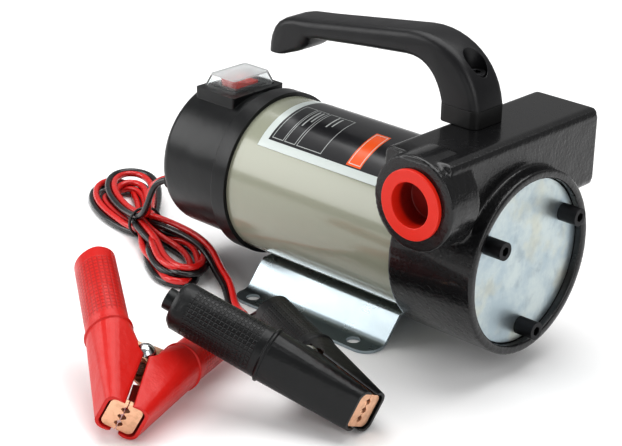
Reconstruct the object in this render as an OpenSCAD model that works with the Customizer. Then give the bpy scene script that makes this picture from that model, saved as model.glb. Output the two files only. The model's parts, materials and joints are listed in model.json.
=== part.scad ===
// Self-priming vane pump for diesel fuel, 12 V: motor, pump head, handle, base bracket and battery leads.
// Millimetres. +X runs along the motor axis towards the pump head, +Z is up.
// The origin is the centre of the four base holes, on the plane that the bracket stands on.

/* [Motor] */
// Height of the motor axis above the base
axis_z = 55; // [54:0.5:58]
// Outside diameter of the motor tube
tube_d = 80; // [79.5:0.1:80.2]
// Wall of the motor tube
tube_wall = 2.5; // [2:0.1:3]
// Diameter of the motor shaft
shaft_d = 10; // [9:0.5:11]
// Outside diameter of the armature core
core_d = 60; // [56:1:60]
// Clear air gap between the core and the magnets
air_gap = 1; // [0.8:0.1:2]
// Diameter of the commutator
commutator_d = 24; // [22:1:25]

/* [Pump head] */
// Outside diameter of the round pump body
head_d = 88; // [87:0.5:90]
// Length of the round pump body along the axis
head_len = 48; // [47:0.5:50]
// Outside diameter of the cover plate
plate_d = 79; // [78:0.1:79]
// Thickness of the cover plate
plate_t = 4; // [3:0.1:4]
// How far the cover plate sits behind the rim
plate_recess = 4; // [3:0.1:4]
// Diameter of the vane chamber
chamber_d = 51; // [50:0.1:51]
// How far the chamber centre stands above the shaft
chamber_rise = 3.8; // [3.6:0.1:3.8]
// Diameter of the vane rotor
rotor_d = 43; // [40:0.5:43]
// Pitch radius of the cover screws
cover_screw_r = 32.3; // [31.5:0.1:33]
// Length of the tall cap screw heads
cover_head_len = 10; // [6:0.5:12]

/* [Port block] */
// Depth of the block along the motor axis
block_depth = 37.5; // [36:0.5:38]
// Height of the block's top above the motor axis
block_top = 59; // [58:0.5:60]
// Height of the ports above the motor axis
port_rise = 38.5; // [38:0.5:39]
// Minor diameter of the G3/4 port thread
port_d = 24.12; // [24:0.02:24.2]
// Depth of the port thread
port_depth = 17; // [15:0.5:18]
// Outside diameter of the near port boss
boss_d = 44; // [42:0.5:45]

/* [Rear cap] */
// Length of the cap behind the tube's edge
cap_len = 50.5; // [48:0.5:52]
// Outside diameter of the cap's body
cap_d = 76.6; // [76:0.1:77]
// Outside diameter of the lip that covers the tube's edge
lip_d = 84; // [83.5:0.1:85]
// Wall of the cap
cap_wall = 2.5; // [2:0.1:3]

/* [Switch] */
// Length of the switch pedestal across the motor
pedestal_w = 36; // [34:0.5:37]
// Length of the switch pedestal along the motor
pedestal_l = 27.4; // [26:0.2:28]
// Travel of the rocker in degrees
rocker_travel = 18; // [14:1:18]

/* [Base bracket] */
// Distance between the base holes along the motor
hole_spacing_x = 67.2; // [66:0.1:68]
// Distance between the base holes across the motor
hole_spacing_y = 68.4; // [67.5:0.1:69]
// Diameter of the base holes
hole_d = 7; // [6:0.1:7.2]
// Thickness of the bracket sheet
sheet_t = 1.5; // [1.2:0.1:2]
// Length of the bracket along the motor
bracket_len = 91.5; // [90:0.5:92]
// Width of the bracket over its flanges
bracket_w = 82; // [80:0.5:83]

/* [Handle] */
// Width of the handle across the motor
handle_w = 21.8; // [20:0.2:22]
// Height of the handle's base piece
handle_base_h = 8.5; // [8:0.5:10]

/* [Battery clips] */
// Reach of the jaws in front of the rivet
clip_reach = 37.5; // [36:0.5:38]
// Size of the boot's grip along the rivet
grip_h = 23.6; // [22:0.2:25]
// Size of the boot's grip across the rivet
grip_w = 19.4; // [19:0.2:20]
// Width of the jaw pair at the tip
jaw_pair_w = 15; // [14:0.5:16]
// Height of the jaws at the tip
jaw_h = 16; // [14:0.5:17]

/* [Hidden] */
$fn = 72;

// Stations along the motor axis, from the rear to the pump head
tube_edge = -47;
bell_x = tube_edge - 4;
head_back = 61;
head_front = head_back + head_len;
plate_front = head_front - plate_recess;
plate_back = plate_front - plate_t;
chamber_back = 76;
cap_rear = tube_edge - cap_len;
tube_r = tube_d / 2;
tube_ir = tube_r - tube_wall;
magnet_ir = core_d / 2 + air_gap;
bond = 0.05;
tie_bolt_r = 32.6;
core_x = [-22, 34];
commutator_x = [-44, -30];

// Port block
block_x = 64;
block_cx = block_x + block_depth / 2;
block_z = [75, axis_z + block_top];
block_y = [-52, 56];
port_x = 85.5;
port_z = axis_z + port_rise;
near_port_y = -57.5;
far_port_x = block_cx;
far_port_y = block_y[1];
relief_x = 88;

// Rear cap and switch
pedestal_x = -78;
pedestal_top = axis_z + 39.5;
rocker_z = pedestal_top - 1.4;
rocker_half = 7.6;
trunnion_r = 1.3;
cap_screw_y = 26;
gland_y = -22;
gland_z = axis_z - 14;

// Base bracket: lean of the webs, foot of the webs, bend radii and the half width that touches the tube
bracket_rear = -43.2;
web_lean = 50;
web_foot = 31.5;
foot_r = 6;
crest_r = 1.5;
cradle_half = 6.5;

// Handle
leg_x = [59.4, 81.6];
bolt_x = 71;
handle_foot = axis_z + block_top + handle_base_h;

// Battery clips: place of the rivet, then the turns about X, Y and Z
red_clip_at = [6.5, -145.5, 20];
red_clip_turn = [-26, 12, -55];
black_clip_at = [60.2, -98.1, 20.3];
black_clip_turn = [-25, 12, -1];
ridge_at = [-7, 17.3];
grip_end = [-51, 36];

// Routes of the cord, from the gland to the clips
cord_r = 2.7;
lead_r = 1.8;
hank_waist = [-128, -21];
hank_top = 16.6;
exit_route = [
  [cap_rear - 9, gland_y, gland_z], [cap_rear - 15, gland_y - 1, gland_z - 1],
  [cap_rear - 20, gland_y - 4, gland_z - 7], [cap_rear - 20, gland_y - 6, gland_z - 16],
  [cap_rear - 18, gland_y - 7, gland_z - 24.4]
];
tail_route = [
  [-60, -32.6, 9], [-54, -35.9, 8.3], [-48, -39.4, 7.4], [-41.5, -43.4, 6.2], [-35.5, -48.2, 5.2], [-30, -53, 5]
];
red_route = [
  [-30, -53, 5], [-24, -55.5, 6], [-17, -59, 7.5], [-9.5, -64, 10], [-3.5, -70, 13], [0, -76, 14.8],
  [2.2, -82.2, 15.2]
];
black_route = [
  [-30, -53, 5], [-25, -56.5, 3], [-19, -58.8, 2.2], [-13, -58.6, 3.8], [-8, -58, 8], [-3, -59.4, 13.6],
  [3.5, -62.8, 16.2]
];

// A cubic curve through two end points and two handles, as n + 1 points
function curve(a, b, c, d, n = 10) = [
  for (i = [0:n]) let (t = i / n, s = 1 - t)
    s * s * s * a + 3 * s * s * t * b + 3 * s * t * t * c + t * t * t * d
];

// Helpers for a tube of `sides` sides swept along a route; `up` is a direction the route never takes
function unit(v) = v / norm(v);
function along(p, i) = unit(p[min(i + 1, len(p) - 1)] - p[max(i - 1, 0)]);
function ring(p, i, r, sides, up) =
  let (t = along(p, i), s = unit(cross(t, up)), u = cross(s, t))
  [for (k = [0:sides - 1]) p[i] + r * (cos(360 * k / sides) * s + sin(360 * k / sides) * u)];

module swept_tube(route, r, sides = 8, up = [0, 0, 1]) {
  n = len(route);
  points = [for (i = [0:n - 1]) each ring(route, i, r, sides, up)];
  walls = [for (i = [0:n - 2], k = [0:sides - 1])
    let (a = i * sides + k, b = i * sides + (k + 1) % sides)
      each [[a, a + sides, b + sides], [a, b + sides, b]]];
  ends = [[for (k = [0:sides - 1]) k], [for (k = [sides - 1:-1:0]) (n - 1) * sides + k]];
  polyhedron(points, concat(walls, ends));
}

// Coil spring standing on the origin along Z
module coil(height, turns, coil_r, wire_r) {
  swept_tube([for (i = [0:14 * turns]) [
    coil_r * cos(360 * i / 14), coil_r * sin(360 * i / 14), wire_r + (height - 2 * wire_r) * i / (14 * turns)
  ]], wire_r, 6);
}

// A solid cylinder or ring along the motor axis, from x0 to x1
module axial(x0, x1, r, hole = 0, y = 0, z = 0) {
  translate([x0, y, axis_z + z]) rotate([0, 90, 0]) difference() {
    cylinder(h = x1 - x0, r = r);
    if (hole > 0) translate([0, 0, -1]) cylinder(h = x1 - x0 + 2, r = hole);
  }
}

// A cylinder across the motor, from y0 to y1
module crosswise(y0, y1, r, x, z) {
  translate([x, y0, z]) rotate([-90, 0, 0]) cylinder(h = y1 - y0, r = r);
}

module rounded_square(w, h, r) {
  square([w - 2 * r, h], center = true);
  square([w, h - 2 * r], center = true);
  for (x = [-1, 1], y = [-1, 1]) translate([x * (w / 2 - r), y * (h / 2 - r)]) circle(r);
}

module rounded_box(w, l, h, r) {
  linear_extrude(h) rounded_square(w, l, r);
}

// Places children at the three cover screws
module at_cover_screws() {
  for (a = [30, 150, 270])
    translate([0, cover_screw_r * cos(a), axis_z + cover_screw_r * sin(a)]) rotate([0, 90, 0]) children();
}

// Places children at the two tie bolts, in the gaps between the magnets
module at_tie_bolts() {
  for (s = [-1, 1]) translate([0, 0, axis_z + s * tie_bolt_r]) rotate([0, 90, 0]) children();
}

module pump_housing() {
  color([0.07, 0.07, 0.07]) difference() {
    union() {
      axial(head_back, head_front, head_d / 2);
      axial(head_back - 4, head_back + 1, tube_ir);
      translate([block_cx, block_y[0], (block_z[0] + block_z[1]) / 2]) rotate([-90, 0, 0])
        rounded_box(block_depth, block_z[1] - block_z[0], block_y[1] - block_y[0], 4);
      crosswise(near_port_y, -38, boss_d / 2, port_x, port_z);
    }
    // cover pocket, vane chamber, shaft bore, bearing and seal pockets
    axial(plate_back, head_front + 1, plate_d / 2 + 0.3);
    axial(chamber_back, plate_back + 1, chamber_d / 2, z = chamber_rise);
    axial(head_back - 5, chamber_back + 1, shaft_d / 2 + 1);
    axial(head_back - 5, head_back + 4, 13.05);
    axial(chamber_back - 7, chamber_back + 1, 11);
    // two G3/4 ports with their passages down to the chamber
    crosswise(near_port_y - 1, near_port_y + port_depth, port_d / 2, port_x, port_z);
    crosswise(near_port_y, -8.5, 8, port_x, port_z);
    crosswise(far_port_y - port_depth, far_port_y + 1, port_d / 2, far_port_x, port_z);
    crosswise(8.5, far_port_y, 8, far_port_x, port_z);
    for (y = [-17, 17]) translate([port_x, y, axis_z + 21]) cylinder(h = port_z - axis_z - 21, r = 6);
    // relief valve bore with its outlet to the inlet side
    translate([relief_x, 0, axis_z + 28]) cylinder(h = 21, r = 5);
    crosswise(0, 9, 2, relief_x, axis_z + 38);
    // tapped holes: cover screws, tie bolts, handle bolt
    translate([plate_back - 12, 0, 0]) at_cover_screws() cylinder(h = 13, r = 2.5);
    translate([head_back - 5, 0, 0]) at_tie_bolts() cylinder(h = 13, r = 2);
    translate([bolt_x, 0, block_z[1] - 16]) cylinder(h = 17, r = 3);
  }
}

module cover_plate() {
  color([0.72, 0.76, 0.76]) difference() {
    axial(plate_back, plate_front, plate_d / 2);
    translate([plate_back - 1, 0, 0]) at_cover_screws() cylinder(h = plate_t + 2, r = 2.8);
    axial(plate_back - 1, plate_back + 2, shaft_d / 2 + 1);
    axial(plate_back - 1, plate_back + 1.2, chamber_d / 2 + 1.9, chamber_d / 2 + 0.3, z = chamber_rise);
  }
}

module cover_seal() {
  color([0.1, 0.1, 0.1])
    axial(plate_back, plate_back + 1.15, chamber_d / 2 + 1.8, hole = chamber_d / 2 + 0.5, z = chamber_rise);
}

module cover_screws() {
  color([0.08, 0.08, 0.08]) translate([plate_front, 0, 0]) at_cover_screws() difference() {
    union() {
      cylinder(h = cover_head_len, r = 4.25);
      translate([0, 0, -plate_t - 10]) cylinder(h = plate_t + 10.5, r = 2.5);
    }
    translate([0, 0, cover_head_len - 4]) cylinder(h = 5, r = 2.3, $fn = 6);
  }
}

module shaft_seal() {
  color([0.12, 0.1, 0.09]) axial(chamber_back - 7, chamber_back - 0.5, 11, hole = shaft_d / 2 + 0.05);
}

module ball_bearing(x0) {
  color([0.75, 0.75, 0.75]) axial(x0, x0 + 8, 13, hole = shaft_d / 2 + 0.02);
}

module front_bearing() {
  ball_bearing(head_back - 4);
}

module rear_bearing() {
  ball_bearing(bell_x - 9);
}

module motor_tube() {
  color([0.63, 0.65, 0.57]) axial(bell_x, head_back, tube_r, hole = tube_ir);
}

module magnet(side) {
  color([0.25, 0.25, 0.26]) translate([core_x[0], 0, axis_z]) rotate([0, 90, 0])
    rotate([0, 0, 90 * side - 62]) rotate_extrude(angle = 124)
      translate([magnet_ir, 0]) square([tube_ir - bond - magnet_ir, core_x[1] - core_x[0]]);
}

module magnet_left() {
  magnet(-1);
}

module magnet_right() {
  magnet(1);
}

module rear_bell() {
  color([0.66, 0.67, 0.69]) difference() {
    union() {
      axial(bell_x - 2.5, bell_x, tube_r);
      axial(bell_x - 0.5, bell_x + 4, tube_ir);
      axial(bell_x - 11, bell_x, 17);
      for (s = [-1, 1]) axial(cap_rear + cap_wall, bell_x, 5, y = s * cap_screw_y);
    }
    axial(bell_x - 9, bell_x + 5, 13);
    axial(bell_x + 1, bell_x + 5, 33);
    axial(bell_x - 12, bell_x, shaft_d / 2 + 1);
    translate([bell_x - 3, 0, 0]) at_tie_bolts() cylinder(h = 8, r = 2.2);
    for (s = [-1, 1]) axial(cap_rear, bell_x - 12, 1.9, y = s * cap_screw_y);
  }
}

module brush_holder() {
  color([0.32, 0.2, 0.1]) difference() {
    union() {
      axial(tube_edge, tube_edge + 3.5, 36.5, hole = commutator_d / 2 + 2);
      for (s = [-1, 1]) translate([commutator_x[0] + 7, s * 23.5, axis_z]) cube([14, 17, 12], center = true);
    }
    for (s = [-1, 1]) translate([commutator_x[0] + 7, s * 24, axis_z]) cube([8.2, 26, 8.2], center = true);
    translate([tube_edge, 0, 0]) at_tie_bolts() cylinder(h = 4, r = 2.4);
  }
}

module brush(side) {
  color([0.14, 0.13, 0.13]) difference() {
    translate([commutator_x[0] + 7, side * (commutator_d / 2 + 5), axis_z]) cube([8, 13, 8], center = true);
    axial(commutator_x[0] - 1, commutator_x[1] + 1, commutator_d / 2 + 0.05);
  }
}

module brush_left() {
  brush(-1);
}

module brush_right() {
  brush(1);
}

module brush_spring(side) {
  color([0.75, 0.72, 0.6]) translate([commutator_x[0] + 7, side * (commutator_d / 2 + 11.5), axis_z])
    rotate([-90 * side, 0, 0]) coil(8.5, 4, 2.6, 0.5);
}

module brush_spring_left() {
  brush_spring(-1);
}

module brush_spring_right() {
  brush_spring(1);
}

module tie_bolts() {
  color([0.5, 0.5, 0.52]) at_tie_bolts() {
    translate([0, 0, bell_x - 4]) cylinder(h = head_back + 12 - bell_x, r = 2);
    translate([0, 0, bell_x - 5.5]) rotate([0, 0, 30]) cylinder(h = 3, r = 3.2, $fn = 6);
  }
}

// The label's lower edge stands 41 degrees above the tube's near side
module label_plate() {
  color([0.06, 0.06, 0.07]) translate([-35.5, 0, axis_z]) rotate([0, 90, 0])
    rotate([0, 0, 131]) rotate_extrude(angle = 98) translate([tube_r, 0]) square([0.25, 84]);
}

module motor_shaft() {
  color([0.7, 0.7, 0.72]) axial(bell_x - 9, plate_back + 1, shaft_d / 2);
}

module armature_core() {
  color([0.4, 0.4, 0.42]) difference() {
    axial(core_x[0] + 2, core_x[1] - 2, core_d / 2, hole = shaft_d / 2);
    for (a = [0:30:330]) translate([core_x[0], 0, axis_z]) rotate([a, 0, 0])
      translate([0, -1.5, core_d / 2 - 9]) cube([60, 3, 12]);
  }
}

module armature_winding() {
  color([0.72, 0.36, 0.16]) {
    axial(core_x[0] - 5, core_x[0] + 2, 26, hole = shaft_d / 2 + 2);
    axial(core_x[1] - 2, core_x[1] + 8, 26, hole = shaft_d / 2 + 2);
  }
}

module commutator() {
  color([0.8, 0.48, 0.25]) axial(commutator_x[0], commutator_x[1], commutator_d / 2, hole = shaft_d / 2);
}

module vane_slots(depth, width, x0, x1) {
  for (a = [45:90:315]) translate([x0, 0, axis_z]) rotate([a, 0, 0])
    translate([0, -width / 2, rotor_d / 2 - depth]) cube([x1 - x0, width, depth + 2]);
}

module pump_rotor() {
  color([0.55, 0.56, 0.58]) difference() {
    axial(chamber_back + 0.1, plate_back - 0.1, rotor_d / 2, hole = shaft_d / 2);
    vane_slots(13, 4.1, chamber_back, plate_back);
  }
}

module vanes() {
  color([0.2, 0.2, 0.2]) intersection() {
    vane_slots(12.8, 4, chamber_back + 0.15, plate_back - 0.15);
    axial(chamber_back, plate_back, rotor_d / 2 - 0.1);
  }
}

module relief_seat() {
  color([0.8, 0.65, 0.35]) translate([relief_x, 0, axis_z + 31.6]) difference() {
    cylinder(h = 3.4, r = 5);
    translate([0, 0, -1]) cylinder(h = 6, r = 3);
  }
}

module relief_poppet() {
  color([0.8, 0.65, 0.35]) translate([relief_x, 0, axis_z + 35]) {
    cylinder(h = 3, r = 4.9);
    translate([0, 0, 2.5]) cylinder(h = 3.5, r = 2);
  }
}

module relief_spring() {
  color([0.7, 0.7, 0.7]) translate([relief_x, 0, axis_z + 38]) coil(11, 4, 3.6, 0.6);
}

// Rounded end of the cap: a shell with its rear edge rolled over
module cap_profile(r, len, edge) {
  rotate([0, -90, 0]) rotate_extrude() {
    square([r, len - edge]);
    square([r - edge, len]);
    translate([r - edge, len - edge]) circle(edge);
  }
}

module rear_cap() {
  lip_back = bell_x - 2.5;
  color([0.08, 0.08, 0.08]) difference() {
    union() {
      axial(lip_back - cap_wall, tube_edge, lip_d / 2);
      translate([lip_back, 0, axis_z]) cap_profile(cap_d / 2, lip_back - cap_rear, 6);
      translate([pedestal_x, 0, axis_z + 30]) rounded_box(pedestal_l, pedestal_w, 9.5, 1.5);
    }
    axial(lip_back, tube_edge + 1, tube_r);
    translate([lip_back + 1, 0, axis_z])
      cap_profile(cap_d / 2 - cap_wall, lip_back + 1 - cap_rear - cap_wall, 4);
    // opening for the switch body, then the gland hole and the two screw holes
    translate([pedestal_x, 0, axis_z + 25]) rounded_box(13.6, 19.6, 16, 0.5);
    translate([cap_rear - 1, gland_y, gland_z]) rotate([0, 90, 0]) cylinder(h = 6, r = 4.5);
    for (s = [-1, 1]) axial(cap_rear - 1, cap_rear + 6, 2.2, y = s * cap_screw_y);
  }
}

module cap_screws() {
  color([0.7, 0.7, 0.7]) for (s = [-1, 1]) difference() {
    union() {
      axial(cap_rear - 2.2, cap_rear, 3.8, y = s * cap_screw_y);
      axial(cap_rear - 0.5, bell_x - 13, 1.9, y = s * cap_screw_y);
    }
    translate([cap_rear - 1.6, s * cap_screw_y, axis_z]) cube([2.4, 1, 5], center = true);
    translate([cap_rear - 1.6, s * cap_screw_y, axis_z]) cube([2.4, 5, 1], center = true);
  }
}

module switch_body() {
  color([0.06, 0.06, 0.06]) translate([pedestal_x, 0, 0]) difference() {
    union() {
      translate([0, 0, pedestal_top]) rounded_box(16, 22, 1, 1);
      translate([0, 0, pedestal_top - 17]) rounded_box(13.4, 19.4, 17.5, 0.5);
      for (y = [-6, 0, 6]) translate([-2.4, y - 0.4, pedestal_top - 24]) cube([4.8, 0.8, 8]);
    }
    translate([0, 0, pedestal_top - 9]) rounded_box(11.4, 17.6, 12, 0.5);
    translate([-6.75, 0, rocker_z]) rotate([0, 90, 0]) cylinder(h = 13.5, r = trunnion_r + 0.05);
  }
}

// The rocker turns on two trunnions along the motor's direction; it rests with its far end pressed in
module switch_rocker() {
  color([0.8, 0.08, 0.05]) translate([pedestal_x, 0, rocker_z]) rotate([90, 0, 90]) {
    translate([0, 0, -5.4]) linear_extrude(10.8) polygon([
      [-6.5, -0.5], [0, -3.5], [6.5, -0.5], [rocker_half, 3.6], [0, 3.6],
      [-rocker_half, 3.6 + rocker_half * tan(rocker_travel)]
    ]);
    translate([0, 0, -6.4]) cylinder(h = 12.8, r = trunnion_r);
  }
}

module switch_boot() {
  color([0.85, 0.88, 0.9, 0.4]) translate([pedestal_x, 0, pedestal_top]) difference() {
    hull() {
      rounded_box(21.4, 29.4, 0.9, 1.5, $fn = 32);
      translate([0, 0, 6]) rounded_box(17.6, 25, 0.9, 2, $fn = 32);
    }
    hull() {
      translate([0, 0, -0.1]) rounded_box(19.8, 27.8, 0.9, 1, $fn = 32);
      translate([0, 0, 5.1]) rounded_box(16, 23.4, 0.9, 1, $fn = 32);
    }
  }
}

// An arc of the bent sheet about a centre, from angle a to angle b, with its concave face at radius r
module sheet_bend(centre, r, a, b) {
  far = 4 * r;
  translate(centre) intersection() {
    difference() {
      circle(r + sheet_t);
      circle(r);
    }
    polygon([
      [0, 0], far * [cos(a), sin(a)], far * [cos((a + b) / 2), sin((a + b) / 2)],
      far * [cos(b), sin(b)]
    ]);
  }
}

// Section of the bent sheet: flat flanges, webs that lean out, and a top whose middle cradles the tube
module bracket_section() {
  top = axis_z - tube_r;
  foot = [web_foot, foot_r + sheet_t];
  low = foot + foot_r * [-sin(web_lean), -cos(web_lean)];
  rise = top - crest_r - sheet_t + (crest_r + sheet_t) * cos(web_lean) - low[1];
  high = low + [-rise / tan(web_lean), rise];
  crest = high - (crest_r + sheet_t) * [sin(web_lean), cos(web_lean)];
  for (m = [0, 1]) mirror([m, 0]) {
    translate([web_foot - 0.01, 0]) square([bracket_w / 2 - web_foot + 0.01, sheet_t]);
    sheet_bend(foot, foot_r, 270.5, 269.5 - web_lean);
    polygon([
      low, high,
      high - sheet_t * [sin(web_lean), cos(web_lean)],
      low - sheet_t * [sin(web_lean), cos(web_lean)]
    ]);
    sheet_bend(crest, crest_r, 90.5, 89.5 - web_lean);
    translate([-0.01, top - sheet_t]) square([crest[0] + 0.02, sheet_t]);
  }
  translate([-cradle_half, top - sheet_t]) square([2 * cradle_half, sheet_t + 0.55]);
}

module base_bracket() {
  color([0.75, 0.77, 0.78]) difference() {
    intersection() {
      translate([bracket_rear, 0, 0]) rotate([90, 0, 90]) linear_extrude(bracket_len) difference() {
        bracket_section();
        translate([0, axis_z]) circle(tube_r);
      }
      translate([bracket_rear + bracket_len / 2, 0, -1]) rounded_box(bracket_len, bracket_w, 30, 8);
    }
    for (x = [-1, 1], y = [-1, 1])
      translate([x * hole_spacing_x / 2, y * hole_spacing_y / 2, -1]) cylinder(h = 4, r = hole_d / 2);
  }
}

// Stations of the handle, each a point on the outer edge and one on the inner edge of its side view
function handle_stations() = let (
  hook_out = curve([-48.6, 122], [-48.4, 131], [-46, 139.4], [-34, 141.4], 6),
  hook_in = curve([-38.4, 122], [-34, 124], [-23.4, 126], [-23.2, 133], 6),
  bend_out = curve([40, 151.9], [62, 154.4], [79, 141], [leg_x[1], handle_foot], 12),
  bend_in = curve([38, 139.6], [53, 140.4], [57.5, 129], [leg_x[0], handle_foot], 12)
) [
  for (i = [0:6]) [hook_out[i], hook_in[i]],
  [[-20, 143.2], [-17, 133.9]],
  [[10, 147.6], [11, 137]],
  for (i = [0:12]) [bend_out[i], bend_in[i]]
];

// Rounded section between two edge points of the handle
function handle_ring(out, in) = let (
  h = norm(out - in), d = (out - in) / h, r = min(4.2, h * 0.42), w = handle_w / 2 - r
) [
  for (q = [[1, 1, 0], [-1, 1, 90], [-1, -1, 180], [1, -1, 270]], a = [0:22.5:90])
    let (y = q[0] * w + r * cos(a + q[2]), t = h / 2 + q[1] * (h / 2 - r) + r * sin(a + q[2]))
      [in[0] + d[0] * t, y, in[1] + d[1] * t]
];

module handle_body() {
  stations = handle_stations();
  m = len(stations);
  k = 20;
  points = [for (q = stations) each handle_ring(q[0], q[1])];
  walls = [for (i = [0:m - 2], j = [0:k - 1]) let (a = i * k + j, b = i * k + (j + 1) % k)
    each [[a, b, b + k], [a, b + k, a + k]]];
  polyhedron(points, concat(walls, [[for (j = [k - 1:-1:0]) j]], [[for (j = [0:k - 1]) (m - 1) * k + j]]));
}

module handle() {
  color([0.1, 0.1, 0.1]) difference() {
    handle_body();
    // hollow under the free end
    translate([-45.5, -6.5, 120]) cube([14, 13, 10]);
    // counterbore and shank hole of the handle bolt
    translate([bolt_x, 0, handle_foot + 9]) cylinder(h = 40, r = 5.7);
    translate([bolt_x, 0, handle_foot - 1]) cylinder(h = 12, r = 3.3);
  }
}

module handle_base() {
  color([0.05, 0.05, 0.05]) translate([0, 0, axis_z + block_top]) difference() {
    translate([(leg_x[0] + leg_x[1]) / 2, 0, 0])
      rounded_box(leg_x[1] - leg_x[0], handle_w, handle_base_h, 4);
    translate([bolt_x, 0, -1]) cylinder(h = handle_base_h + 2, r = 3.3);
  }
}

module handle_bolt() {
  color([0.3, 0.3, 0.32]) translate([bolt_x, 0, 0]) difference() {
    union() {
      translate([0, 0, handle_foot + 9]) cylinder(h = 6, r = 5);
      translate([0, 0, block_z[1] - 14]) cylinder(h = handle_foot + 9.5 - block_z[1] + 14, r = 3);
    }
    translate([0, 0, handle_foot + 12]) cylinder(h = 4, r = 2.9, $fn = 6);
  }
}

// Transport plug: a thin flange and a hollow cup that slides into the thread
module port_plug() {
  difference() {
    union() {
      cylinder(h = 2.4, r = 16.2);
      translate([0, 0, -13]) cylinder(h = 14, r = port_d / 2 - 0.05);
    }
    translate([0, 0, -11.5]) cylinder(h = 15, r = 10.4);
  }
}

module near_port_plug() {
  color([0.83, 0.12, 0.06]) translate([port_x, near_port_y, port_z]) rotate([90, 0, 0]) port_plug();
}

module far_port_plug() {
  color([0.83, 0.12, 0.06]) translate([far_port_x, far_port_y, port_z]) rotate([-90, 0, 0]) port_plug();
}

module cable_gland() {
  color([0.05, 0.05, 0.05]) translate([cap_rear, gland_y, gland_z]) rotate([0, -90, 0]) difference() {
    union() {
      cylinder(h = 2, r = 7);
      cylinder(h = 9, r = 5);
      translate([0, 0, -cap_wall - 1]) cylinder(h = 5, r = 4.5);
    }
    translate([0, 0, -5]) cylinder(h = 12, r = 3.4);
  }
}

module power_cord() {
  color([0.5, 0.05, 0.05]) swept_tube(exit_route, cord_r, up = [0, 1, 0]);
}

// The coiled part of the cord: two lobes of loops, pinched where the tie holds them
module cord_hank() {
  color([0.5, 0.05, 0.05]) translate([0, 0, 0.8]) linear_extrude(hank_top - 0.8) {
    hull() {
      translate([-176, 10]) circle(27);
      translate(hank_waist) circle(8);
    }
    hull() {
      translate(hank_waist) circle(8);
      translate([-81, -38]) circle(22);
    }
  }
}

// Thin tie pulled around the waist of the hank
module cord_tie() {
  color([0.04, 0.04, 0.04]) translate([hank_waist[0], hank_waist[1], 0.2]) rotate([0, 0, 60]) difference() {
    translate([-10, -1.2, 0]) cube([20, 2.4, hank_top + 0.6]);
    translate([-9.2, -2, 0.6]) cube([18.4, 4, hank_top - 0.6]);
  }
}

module cord_tail() {
  color([0.5, 0.05, 0.05]) swept_tube(tail_route, cord_r);
}

module red_lead() {
  color([0.8, 0.06, 0.05]) swept_tube(red_route, lead_r);
}

module black_lead() {
  color([0.05, 0.05, 0.05]) swept_tube(black_route, lead_r);
}

// Battery clip in its own frame: rivet at the origin, jaws towards +X, the two arms spread along Y.
// side is 1 for the arm that stays still and -1 for the arm that swings.
grip_angle = atan2(grip_end[1] - ridge_at[1], ridge_at[0] - grip_end[0]);
grip_len = norm(grip_end - ridge_at);

// Places children at the collar of an arm, looking back along the grip
module at_collar(side) {
  translate([ridge_at[0], side * ridge_at[1], 0]) rotate([0, 0, -side * grip_angle])
    rotate([0, -90, 0]) children();
}

// An oval disc at a station along the grip; grow makes it larger all round
module grip_oval(side, station, grow, thick = 0.8) {
  at_collar(side) translate([0, 0, station]) linear_extrude(thick)
    scale([1, (grip_w + 2 * grow) / (grip_h + 2 * grow)]) circle(grip_h / 2 + grow, $fn = 32);
}

// A rounded rectangle across the jaws at x, with its outer edge at y_out
module jaw_section(side, x, half_w, y_in, y_out, r) {
  translate([x, side * (y_in + y_out) / 2, 0]) rotate([0, 90, 0]) linear_extrude(1)
    rounded_square(2 * half_w, y_out - y_in, r, $fn = 32);
}

// Soft boot of one arm: flared over the jaw, with an oval grip behind a ridge and a neck for the lead
module clip_boot(side, neck) {
  difference() {
    union() {
      hull() {
        grip_oval(side, 0, 0.4);
        jaw_section(side, 5, 10.4, 0.6, 14, 3);
        jaw_section(side, clip_reach, 9.7, 0.4, 10, 4.2);
      }
      hull() {
        grip_oval(side, 0, 0);
        grip_oval(side, grip_len - 3.3, -0.4);
        grip_oval(side, grip_len - 0.8, -2.6);
      }
      hull() {
        grip_oval(side, -0.4, 0);
        grip_oval(side, 0.4, 1.1);
        grip_oval(side, 1.4, 0);
      }
      at_collar(side) translate([0, 0, grip_len - 1]) cylinder(h = 1 + neck, r = 5);
    }
    hull() {
      grip_oval(side, 0, -2);
      jaw_section(side, 5, 9.2, -3, 12.2, 2);
      jaw_section(side, clip_reach + 0.5, 8.6, -3, 8.2, 3.4);
    }
    at_collar(side) {
      translate([0, 0, -1]) cylinder(h = grip_len - 1.5, r = 7.4);
      cylinder(h = grip_len + neck + 1, r = lead_r + 0.3);
    }
    translate([0, 0, -8.3]) linear_extrude(16.6) polygon([
      [-7, side * -2], [31, side * -2], [31, side * 3], [10, side * 6], [-7, side * 10]
    ]);
    translate([0, 0, -14]) cylinder(h = 28, r = 5.5);
  }
}

// Steel arm with its ears and the toothed copper end plate; ear is the inner height of the ears
module clip_jaw(side, ear) {
  root = [ridge_at[0] - 0.6, side * ridge_at[1]];
  difference() {
    union() {
      at_collar(side) translate([-5, -0.7, -0.6]) cube([10, 1.4, grip_len - 9]);
      translate([0, 0, -7]) linear_extrude(14) polygon([
        root - [0.3, side * 0.7], [8, side * 8.6], [clip_reach - 1, side * 6],
        [clip_reach - 1, side * 7.4], [8.4, side * 10], root + [0.3, side * 0.7]
      ]);
      for (z = [-ear - 1.2, ear]) translate([0, 0, z]) linear_extrude(1.2) {
        circle(5.2);
        polygon([[-6.6, side * 16.4], [-5.2, 0], [5.2, 0], [10, side * 8.8]]);
      }
      translate([clip_reach - 2.6, 0, 0]) rotate([90, 0, 90]) linear_extrude(2.6) toothed_plate(side);
    }
    translate([0, 0, -10]) cylinder(h = 20, r = 2.5);
  }
}

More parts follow.
